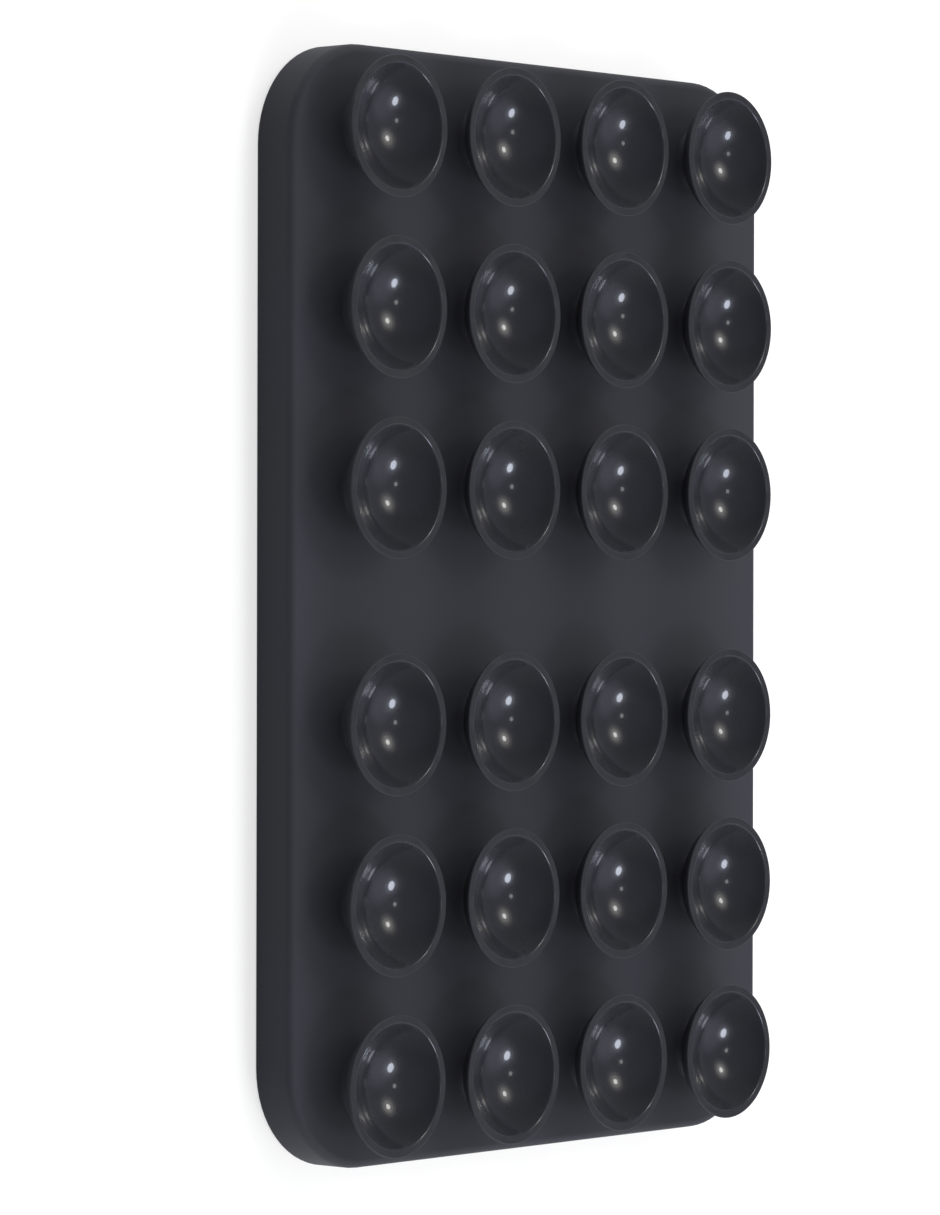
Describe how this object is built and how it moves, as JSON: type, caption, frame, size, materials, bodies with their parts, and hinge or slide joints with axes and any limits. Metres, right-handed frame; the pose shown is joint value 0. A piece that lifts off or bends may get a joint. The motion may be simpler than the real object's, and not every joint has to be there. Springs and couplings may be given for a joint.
{
  "type": "wireless charging phone holder",
  "caption": "Slim black charging pad with round corners whose front is a silicone mat with a field of suction cups that grip a phone's back.",
  "frame": {"origin": "middle of the back face, which lies on z = 0", "axes": "+X across the width, +Y along the length away from the supply inlet, +Z from the back towards the suction cups, the way they open"},
  "size_m": [0.0718, 0.1084, 0.0093],
  "materials": {
    "shell_plastic": "fine matt moulded",
    "cover_plastic": "fine matt moulded",
    "black_steel": "blackened",
    "bonding_film": "matt",
    "silicone": "matt face, gloss bowls",
    "silicone_lip": "matt lip",
    "copper_litz": "enamelled",
    "adhesive_tape": "matt",
    "ferrite": "matt sintered",
    "foil": "satin",
    "foam": "open cell",
    "polyimide": "gloss film",
    "black_epoxy": "matt moulded",
    "glass_epoxy_board": "lacquered",
    "thermal_silicone": "matt",
    "plated_steel": "plated",
    "black_nylon": "moulded",
    "gold_plate": "plated",
    "capacitor_ceramic": "sintered",
    "solder": "reflowed",
    "led_plastic": "gloss",
    "clear_acrylic": "polished"
  },
  "bodies": {
    "charger": {"front_shell": "shell_plastic", "back_cover": "cover_plastic", "cover_screws": "black_steel", "mat_adhesive": "bonding_film", "suction_mat": "silicone", "cup_feet": "silicone", "cup_walls": "silicone", "charging_coil": "copper_litz", "coil_leads": "copper_litz", "coil_tape": "adhesive_tape", "ferrite_sheet": "ferrite", "shield_foil": "foil", "foam_pad": "foam", "sensor_flex": "polyimide", "thermistor": "black_epoxy", "circuit_board": "glass_epoxy_board", "thermal_pad": "thermal_silicone", "inlet_shell": "plated_steel", "inlet_insulator": "black_nylon", "inlet_contacts": "gold_plate", "controller_chip": "black_epoxy", "bridge_chips": "black_epoxy", "crystal": "plated_steel", "power_inductor": "ferrite", "resonant_capacitors": "capacitor_ceramic", "buffer_capacitors": "capacitor_ceramic", "small_capacitors": "capacitor_ceramic", "chip_resistors": "black_epoxy", "solder_joints": "solder", "status_led": "led_plastic", "light_pipe": "clear_acrylic"},
    "cup_1_1": {"suction_rim_1_1": "silicone_lip"},
    "cup_1_2": {"suction_rim_1_2": "silicone_lip"},
    "cup_1_3": {"suction_rim_1_3": "silicone_lip"},
    "cup_1_4": {"suction_rim_1_4": "silicone_lip"},
    "cup_2_1": {"suction_rim_2_1": "silicone_lip"},
    "cup_2_2": {"suction_rim_2_2": "silicone_lip"},
    "cup_2_3": {"suction_rim_2_3": "silicone_lip"},
    "cup_2_4": {"suction_rim_2_4": "silicone_lip"},
    "cup_3_1": {"suction_rim_3_1": "silicone_lip"},
    "cup_3_2": {"suction_rim_3_2": "silicone_lip"},
    "cup_3_3": {"suction_rim_3_3": "silicone_lip"},
    "cup_3_4": {"suction_rim_3_4": "silicone_lip"},
    "cup_4_1": {"suction_rim_4_1": "silicone_lip"},
    "cup_4_2": {"suction_rim_4_2": "silicone_lip"},
    "cup_4_3": {"suction_rim_4_3": "silicone_lip"},
    "cup_4_4": {"suction_rim_4_4": "silicone_lip"},
    "cup_5_1": {"suction_rim_5_1": "silicone_lip"},
    "cup_5_2": {"suction_rim_5_2": "silicone_lip"},
    "cup_5_3": {"suction_rim_5_3": "silicone_lip"},
    "cup_5_4": {"suction_rim_5_4": "silicone_lip"},
    "cup_6_1": {"suction_rim_6_1": "silicone_lip"},
    "cup_6_2": {"suction_rim_6_2": "silicone_lip"},
    "cup_6_3": {"suction_rim_6_3": "silicone_lip"},
    "cup_6_4": {"suction_rim_6_4": "silicone_lip"}
  },
  "joints": [
    {"name": "cup_1_1_press", "type": "slide", "parent": "charger", "child": "cup_1_1", "axis": [0, 0, 1], "range_m": [-0.002, 0], "stiffness_N_per_m": 300, "deforming": ["cup_walls"]},
    {"name": "cup_1_2_press", "type": "slide", "parent": "charger", "child": "cup_1_2", "axis": [0, 0, 1], "range_m": [-0.002, 0], "stiffness_N_per_m": 300, "deforming": ["cup_walls"]},
    {"name": "cup_1_3_press", "type": "slide", "parent": "charger", "child": "cup_1_3", "axis": [0, 0, 1], "range_m": [-0.002, 0], "stiffness_N_per_m": 300, "deforming": ["cup_walls"]},
    {"name": "cup_1_4_press", "type": "slide", "parent": "charger", "child": "cup_1_4", "axis": [0, 0, 1], "range_m": [-0.002, 0], "stiffness_N_per_m": 300, "deforming": ["cup_walls"]},
    {"name": "cup_2_1_press", "type": "slide", "parent": "charger", "child": "cup_2_1", "axis": [0, 0, 1], "range_m": [-0.002, 0], "stiffness_N_per_m": 300, "deforming": ["cup_walls"]},
    {"name": "cup_2_2_press", "type": "slide", "parent": "charger", "child": "cup_2_2", "axis": [0, 0, 1], "range_m": [-0.002, 0], "stiffness_N_per_m": 300, "deforming": ["cup_walls"]},
    {"name": "cup_2_3_press", "type": "slide", "parent": "charger", "child": "cup_2_3", "axis": [0, 0, 1], "range_m": [-0.002, 0], "stiffness_N_per_m": 300, "deforming": ["cup_walls"]},
    {"name": "cup_2_4_press", "type": "slide", "parent": "charger", "child": "cup_2_4", "axis": [0, 0, 1], "range_m": [-0.002, 0], "stiffness_N_per_m": 300, "deforming": ["cup_walls"]},
    {"name": "cup_3_1_press", "type": "slide", "parent": "charger", "child": "cup_3_1", "axis": [0, 0, 1], "range_m": [-0.002, 0], "stiffness_N_per_m": 300, "deforming": ["cup_walls"]},
    {"name": "cup_3_2_press", "type": "slide", "parent": "charger", "child": "cup_3_2", "axis": [0, 0, 1], "range_m": [-0.002, 0], "stiffness_N_per_m": 300, "deforming": ["cup_walls"]},
    {"name": "cup_3_3_press", "type": "slide", "parent": "charger", "child": "cup_3_3", "axis": [0, 0, 1], "range_m": [-0.002, 0], "stiffness_N_per_m": 300, "deforming": ["cup_walls"]},
    {"name": "cup_3_4_press", "type": "slide", "parent": "charger", "child": "cup_3_4", "axis": [0, 0, 1], "range_m": [-0.002, 0], "stiffness_N_per_m": 300, "deforming": ["cup_walls"]},
    {"name": "cup_4_1_press", "type": "slide", "parent": "charger", "child": "cup_4_1", "axis": [0, 0, 1], "range_m": [-0.002, 0], "stiffness_N_per_m": 300, "deforming": ["cup_walls"]},
    {"name": "cup_4_2_press", "type": "slide", "parent": "charger", "child": "cup_4_2", "axis": [0, 0, 1], "range_m": [-0.002, 0], "stiffness_N_per_m": 300, "deforming": ["cup_walls"]},
    {"name": "cup_4_3_press", "type": "slide", "parent": "charger", "child": "cup_4_3", "axis": [0, 0, 1], "range_m": [-0.002, 0], "stiffness_N_per_m": 300, "deforming": ["cup_walls"]},
    {"name": "cup_4_4_press", "type": "slide", "parent": "charger", "child": "cup_4_4", "axis": [0, 0, 1], "range_m": [-0.002, 0], "stiffness_N_per_m": 300, "deforming": ["cup_walls"]},
    {"name": "cup_5_1_press", "type": "slide", "parent": "charger", "child": "cup_5_1", "axis": [0, 0, 1], "range_m": [-0.002, 0], "stiffness_N_per_m": 300, "deforming": ["cup_walls"]},
    {"name": "cup_5_2_press", "type": "slide", "parent": "charger", "child": "cup_5_2", "axis": [0, 0, 1], "range_m": [-0.002, 0], "stiffness_N_per_m": 300, "deforming": ["cup_walls"]},
    {"name": "cup_5_3_press", "type": "slide", "parent": "charger", "child": "cup_5_3", "axis": [0, 0, 1], "range_m": [-0.002, 0], "stiffness_N_per_m": 300, "deforming": ["cup_walls"]},
    {"name": "cup_5_4_press", "type": "slide", "parent": "charger", "child": "cup_5_4", "axis": [0, 0, 1], "range_m": [-0.002, 0], "stiffness_N_per_m": 300, "deforming": ["cup_walls"]},
    {"name": "cup_6_1_press", "type": "slide", "parent": "charger", "child": "cup_6_1", "axis": [0, 0, 1], "range_m": [-0.002, 0], "stiffness_N_per_m": 300, "deforming": ["cup_walls"]},
    {"name": "cup_6_2_press", "type": "slide", "parent": "charger", "child": "cup_6_2", "axis": [0, 0, 1], "range_m": [-0.002, 0], "stiffness_N_per_m": 300, "deforming": ["cup_walls"]},
    {"name": "cup_6_3_press", "type": "slide", "parent": "charger", "child": "cup_6_3", "axis": [0, 0, 1], "range_m": [-0.002, 0], "stiffness_N_per_m": 300, "deforming": ["cup_walls"]},
    {"name": "cup_6_4_press", "type": "slide", "parent": "charger", "child": "cup_6_4", "axis": [0, 0, 1], "range_m": [-0.002, 0], "stiffness_N_per_m": 300, "deforming": ["cup_walls"]}
  ]
}
